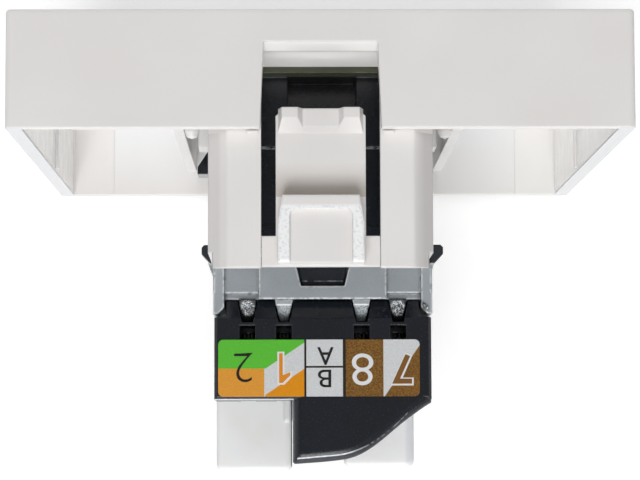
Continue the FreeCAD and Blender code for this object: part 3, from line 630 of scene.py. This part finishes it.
def printed_label():
    material, place = start("label_print")
    across = 0 - axis(place, "X")
    down = axis(place, "Y")
    fibre = noise(place, 8.0, 4.0)
    white = rgb(215, 218, 220)
    black = rgb(20, 18, 16)
    brown = blend(part_of(fibre, 0.42, 0.58), rgb(102, 68, 24), rgb(142, 100, 40))
    lower = down > GREEN_END
    stripe = across > STRIPE_LEFT
    slanted = down + across * STRIPE_SLOPE
    left = blend(lower * (1 - stripe), rgb(90, 194, 54), rgb(228, 156, 54))
    for edge, colour in zip(STRIPE_EDGES, (white, rgb(228, 146, 2))):
        left = blend(past(slanted, edge, STRIPE_SOFT) * stripe, left, colour)
    left = blend(between(across, *STRIPE_LINE) * lower, left, white)
    middle = blend(between(down, *LETTERS_BAR), white, black)
    split = past(down + across * SPLIT_SLOPE, SPLIT_EDGE, SPLIT_SOFT)
    right = blend(across > SPLIT_LEFT, brown, white)
    right = blend(split * (across > SPLIT_CORNER), right, brown)
    colour = blend(across > LETTERS_LEFT, left, middle)
    colour = blend(across > LETTERS_RIGHT, colour, right)
    rules = between(across, *LEFT_RULE) + between(across, *RIGHT_RULE)
    colour = blend(rules, colour, black)
    colour = blend(part_of(fibre, 0.3, 0.7) * 0.16, colour, rgb(84, 68, 24))
    gloss = fibre * 0.2 + 0.4
    relief = bump(fibre, 0.004, rounded(place, 0.04)[0])
    return finish(material, Base_Color=colour, Roughness=gloss, Normal=relief, Specular_IOR_Level=0.2)


finishes["label_print"] = printed_label()

# %% [markdown]
# ## Hang the finishes on the pieces
# The record names a finish for every piece, so the same names pick the material here. The fork shares
# the slot of the other white pieces in the record, but gets its milky finish. Only the material slot of
# a CAD piece changes, never its mesh.

# %% Assign the finishes
for piece in frame["record"]["subparts"]:
    mesh = frame["nodes"][piece["node"]].data
    mesh.materials.clear()
    name = "milky_plastic" if piece["node"] == "cable_fork" else piece["material_slot"]
    mesh.materials.append(finishes[name])
print("finishes:", sorted(finishes))

# %% [markdown]
# ## Marks on the label
# The wire numbers are printed over the fields, some with a white outline. They are made from text,
# because a figure's curves are tedious as sums: the text is given a hair of thickness, becomes a mesh,
# and is then sized and placed on the label. An outlined figure is two of them, a fatter white one below
# a thin coloured one.

# %% Wire numbers
INK = 0.012
SEVEN = (-6.22, 25.31)


def ink(name, colour):
    """A printing ink with a little wear."""
    material, place = start(name)
    wear = noise(place, 8.0, 4.0)
    shade = blend(part_of(wear, 0.3, 0.7) * 0.08, colour, rgb(110, 104, 96))
    return finish(material, Base_Color=shade, Roughness=wear * 0.2 + 0.4, Specular_IOR_Level=0.2)


inks = {
    "black": ink("ink_black", rgb(14, 13, 12)),
    "white": ink("ink_white", rgb(228, 229, 230)),
    "orange": ink("ink_orange", rgb(222, 138, 24)),
    "brown": ink("ink_brown", rgb(126, 84, 32)),
}


def printed(figure, colour):
    """Gives a figure its ink and lets it ride on the cap."""
    figure.data.materials.clear()
    figure.data.materials.append(inks[colour])
    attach(figure, "cap_upper")


def mark(name, text, middle, size, colour, fatter=0.0, layer=0):
    """One printed figure: its middle and its width and height on the label."""
    bpy.ops.object.select_all(action="DESELECT")
    bpy.ops.object.text_add()
    figure = bpy.context.object
    figure.name = name
    figure.data.body = text
    figure.data.align_x = "CENTER"
    figure.data.offset = fatter
    figure.data.extrude = 0.01  # any thickness will do, since it is scaled to the ink's
    bpy.ops.object.convert(target="MESH")
    points = [v.co.copy() for v in figure.data.vertices]
    low = Vector([min(p[i] for p in points) for i in range(3)])
    high = Vector([max(p[i] for p in points) for i in range(3)])
    wanted = Vector((*size, INK)) * MM
    target = Vector((*middle, LABEL.z + INK * (layer + 0.5))) * MM
    scale = Vector([wanted[i] / (high[i] - low[i]) for i in range(3)])
    figure.scale = scale
    figure.location = target - (low + high) / 2 * scale
    bpy.ops.object.transform_apply(location=True, rotation=True, scale=True)
    printed(figure, colour)


mark("mark_two", "2", (5.74, 25.18), (1.40, 2.2), "black", fatter=-0.018)
mark("mark_a", "A", (-0.45, 24.33), (1.24, 1.34), "black", fatter=0.008)
mark("mark_b", "B", (-0.38, 26.02), (1.00, 1.32), "black", fatter=0.002)
mark("mark_eight", "8", (-3.25, 25.34), (1.62, 2.40), "white", fatter=-0.006)
mark("mark_seven_edge", "7", SEVEN, (1.76, 2.50), "white", fatter=0.050)
mark("mark_seven", "7", SEVEN, (1.50, 2.22), "brown", fatter=0.014, layer=1)

# %% [markdown]
# ## The figure one
# The font's own one is a plain bar, so this figure is drawn by hand: a plane as tall as the stem, cut
# once below its top, with the edge above the cut pulled out sideways and down as the flag, and made
# shorter at the flag's end. Then all faces are pulled up by the thickness of the ink. A larger white
# copy below gives the outline.

# %% Figure one
ONE_FOOT = (2.91, 24.12)
ONE_STEM = (0.27, 2.23)  # width and height
ONE_OUTLINE = 0.13
FLAG_ROOT = 0.57  # height of the flag at the stem
FLAG_END = 0.23
FLAG_OUT = 0.57
FLAG_DROP = 0.41
HAIR = 0.001


def pull(*way):
    """Pulls what is selected out along a way and leaves the pulled part selected."""
    bpy.ops.mesh.extrude_region_move(TRANSFORM_OT_translate={"value": Vector(way) * MM})


def figure_one(name, grow, colour, layer):
    """The figure, with a stem and a flag that are larger by grow on every side."""
    bpy.ops.object.select_all(action="DESELECT")
    wide = ONE_STEM[0] + 2 * grow
    tall = ONE_STEM[1] + 2 * grow
    middle = Vector((ONE_FOOT[0], ONE_FOOT[1] - grow + tall / 2, LABEL.z + INK * layer))
    cut = ONE_FOOT[1] + ONE_STEM[1] - FLAG_ROOT - grow
    bpy.ops.mesh.primitive_plane_add(size=1.0)
    figure = bpy.context.object
    figure.name = name
    figure.scale = (wide * MM, tall * MM, 1.0)
    figure.location = middle * MM
    bpy.ops.object.transform_apply(location=True, rotation=True, scale=True)
    bpy.ops.object.mode_set(mode="EDIT")
    bpy.ops.mesh.select_all(action="SELECT")
    bpy.ops.mesh.bisect(plane_co=(0, cut * MM, middle.z * MM), plane_no=(0, 1, 0))
    bpy.ops.mesh.select_all(action="DESELECT")
    bpy.ops.object.mode_set(mode="OBJECT")
    for edge in figure.data.edges:
        ends = [figure.data.vertices[i].co / MM for i in edge.vertices]
        edge.select = all(e.x < middle.x and e.y > cut - HAIR for e in ends)
    bpy.ops.object.mode_set(mode="EDIT")
    bpy.ops.mesh.select_mode(type="EDGE")
    pull(-FLAG_OUT, -FLAG_DROP, 0)
    end = Vector((0, (cut + middle.y + tall / 2) / 2 - FLAG_DROP, 0))
    shorter = (FLAG_END + 2 * grow) / (FLAG_ROOT + 2 * grow)
    bpy.ops.transform.resize(value=(1, shorter, 1), center_override=end * MM)
    bpy.ops.mesh.select_all(action="SELECT")
    pull(0, 0, INK)
    bpy.ops.mesh.select_all(action="SELECT")
    bpy.ops.mesh.normals_make_consistent(inside=False)
    bpy.ops.object.mode_set(mode="OBJECT")
    printed(figure, colour)


figure_one("mark_one_edge", ONE_OUTLINE, "white", 0)
figure_one("mark_one", 0.0, "orange", 1)

# %% [markdown]
# ## Torn bits on the grey body
# The torn ends of the two outer guide posts stand up as crumbly stubs, and one side strip keeps a torn
# sliver. A stub could be sculpted, but random moves of a ball's points, with a fixed seed, give the
# same crumbs in one step. The ball stays flat shaded: each facet then catches the light by itself. Its
# lower part is cut off, so that it sits on the post. The cut is rough: it leaves points alone that lie
# within 0.1 mm of its level, so the underside, most of it sunk in the body, isn't a clean flat face.

# %% Torn stubs
STUB_DEPTH = 20.72
STUB_HEIGHT = 9.32
STUB_FLOOR = 9.05
STUB_SIZE = (0.95, 1.0, 0.8)
JITTER = 0.12


def torn_plastic():
    material, place = start("torn_plastic")
    gloss = noise(place, 6.0) * 0.3 + 0.15
    relief = bump(noise(place, 10.0, 3.0), 0.03, rounded(place, 0.03)[0])
    # its bright facets are painted glints
    return finish(material, Base_Color=crumbs(place), Roughness=gloss, Normal=relief)


def torn_bit(name, middle, size, floor, turn, seed):
    """A crumb round its middle, turned by an angle in degrees, cut off roughly at the level floor."""
    bpy.ops.object.select_all(action="DESELECT")
    bpy.ops.mesh.primitive_ico_sphere_add(subdivisions=3, radius=0.5)
    bit = bpy.context.object
    bit.name = name
    bit.scale = Vector(size) * MM
    bit.location = Vector(middle) * MM
    bit.rotation_euler = (0, 0, radians(turn))
    bpy.ops.object.transform_apply(location=True, rotation=True, scale=True)
    bpy.ops.object.mode_set(mode="EDIT")
    bpy.ops.mesh.select_all(action="SELECT")
    bpy.ops.transform.vertex_random(offset=JITTER * MM, uniform=1.0, seed=seed)
    bpy.ops.mesh.select_all(action="SELECT")
    bpy.ops.mesh.bisect(plane_co=(0, 0, floor * MM), plane_no=(0, 0, -1), clear_outer=True, use_fill=True)
    bpy.ops.mesh.select_all(action="SELECT")
    bpy.ops.mesh.normals_make_consistent(inside=False)
    bpy.ops.object.mode_set(mode="OBJECT")
    bit.data.materials.append(torn)
    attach(bit, "module")
    print(name, len(bit.data.polygons), "faces")


torn = torn_plastic()
for name, side, seed in (("stub_left", 1, 3), ("stub_right", -1, 8)):
    stub_middle = (JACK_X + side * OUTER_MIDDLE, STUB_DEPTH, STUB_HEIGHT)
    torn_bit(name, stub_middle, STUB_SIZE, STUB_FLOOR, turn=0, seed=seed)
torn_bit("torn_sliver", (-7.98, 20.6, 10.5), (0.26, 0.62, 0.46), floor=10.4, turn=35, seed=5)

# %% [markdown]
# ## Floor and light
# The module lies on its lower latch, seen from above, on a white ground. A soft lamp hangs above the
# cable side, because the faces towards the cable are the brightest in the picture. A low one behind
# draws bright lines along the black edges, and one in front lights the face of the cover, which the
# picture doesn't show. The sky fills in the rest: dim, with a white wall all round for the camera and
# for reflections. The floor is pale and keeps the shadow; a little of its own light, again for those
# rays only, makes it white. The floor's size and the lamps' places and sizes are in metres.

# %% Studio
FLOOR_GAP = 0.02
FLOOR_GLOW = 0.45
SKY_FOOT = 0.12
SKY_RISE = 0.36
WALL_GLOW = 0.88
WALL_FADE = (0.8, 0.4)  # heights on a ball of radius 1, from no wall to full wall


def shown(place):
    """1 for rays of the camera, of reflections and through clear pieces, 0 for other light."""
    seen, shine, through = [place.node("LightPath", {}, {}, output=f"Is {kind} Ray")
                            for kind in ("Camera", "Glossy", "Transmission")]
    return seen + shine + through


def backdrop_floor():
    """A pale floor just under the module."""
    bpy.ops.object.select_all(action="DESELECT")
    bpy.ops.mesh.primitive_plane_add(size=4.0, location=(0, 0, cad_low.z - FLOOR_GAP * MM))
    floor = bpy.context.object
    floor.name = "floor"
    material, place = start("floor")
    colour = blend(noise(place, 0.004), rgb(216, 216, 216), rgb(220, 220, 220))
    finish(material, Base_Color=colour, Roughness=0.9)
    tree = material.node_tree
    base = Sock(tree, tree.nodes["Principled BSDF"].outputs[0])
    glow = place.node("Emission", {}, {"Color": (1, 1, 1, 1), "Strength": shown(place) * FLOOR_GLOW})
    both = place.node("AddShader", {}, {0: base, 1: glow})
    tree.links.new(both.socket, tree.nodes["Material Output"].inputs["Surface"])
    floor.data.materials.append(material)


def lamp(name, place, aim, wide, high, power):
    """A soft lamp at a place, turned towards a point."""
    light = bpy.data.lights.new(name, "AREA")
    light.shape = "RECTANGLE"
    light.size = wide
    light.size_y = high
    light.energy = power
    holder = bpy.data.objects.new(name, light)
    bpy.context.scene.collection.objects.link(holder)
    holder.location = place
    holder.rotation_euler = (Vector(aim) - Vector(place)).to_track_quat("-Z", "Y").to_euler()


def white_sky():
    """A dim sky that gets brighter upwards, and the wall round it."""
    world = bpy.data.worlds.new("sky")
    world.use_nodes = True
    bpy.context.scene.world = world
    tree = world.node_tree
    sky = tree.nodes["Background"]
    sky.inputs["Color"].default_value = (1.0, 1.0, 1.0, 1.0)
    upward = Sock(tree, tree.nodes.new("ShaderNodeTexCoord").outputs["Generated"])
    level = axis(upward, "Z")
    wall = part_of(level, *WALL_FADE) * WALL_GLOW
    strength = part_of(level, 0.0, 1.0) * SKY_RISE + SKY_FOOT + shown(upward) * wall
    tree.links.new(strength.socket, sky.inputs["Strength"])


backdrop_floor()
lamp("upper_lamp", place=(0.07, 0.47, 0.81), aim=(0, 0.01, 0), wide=0.36, high=0.36, power=4.6)
lamp("cable_side_lamp", place=(-0.02, 0.98, 0.08), aim=(0, 0.01, 0.005), wide=0.80, high=0.12, power=4.0)
lamp("front_lamp", place=(0.15, -0.97, 0.12), aim=(0, 0.01, 0), wide=0.70, high=0.24, power=2.6)
white_sky()

# %% [markdown]
# ## Camera
# The cover's six visible corners fix the camera: a long lens almost straight above the module, with the
# front face at the top of the picture. Its place is above the cable side, and two of its axes, the
# picture's right and the way it looks, give the third.

# %% Camera
CAMERA_PLACE = Vector((2.25, 32.51, 196.49))
PICTURE_RIGHT = Vector((-0.9999, 0.0029, 0.0122))
LOOKS_ALONG = Vector((-0.0124, -0.0909, -0.9958))

view = bpy.data.cameras.new("camera")
view.sensor_width = 36.0
view.lens = 138.66
view.clip_start = 0.01
eye = bpy.data.objects.new("camera", view)
bpy.context.scene.collection.objects.link(eye)
ahead = LOOKS_ALONG.normalized()
up = PICTURE_RIGHT.cross(ahead).normalized()
right = ahead.cross(up).normalized()
axes = Matrix((right, up, -ahead)).transposed()
eye.matrix_world = Matrix.Translation(CAMERA_PLACE * MM) @ axes.to_4x4()
bpy.context.scene.camera = eye
bpy.context.scene.view_settings.view_transform = "Standard"
print("camera:", [round(v / MM, 1) for v in eye.location], "lens", round(view.lens, 2))
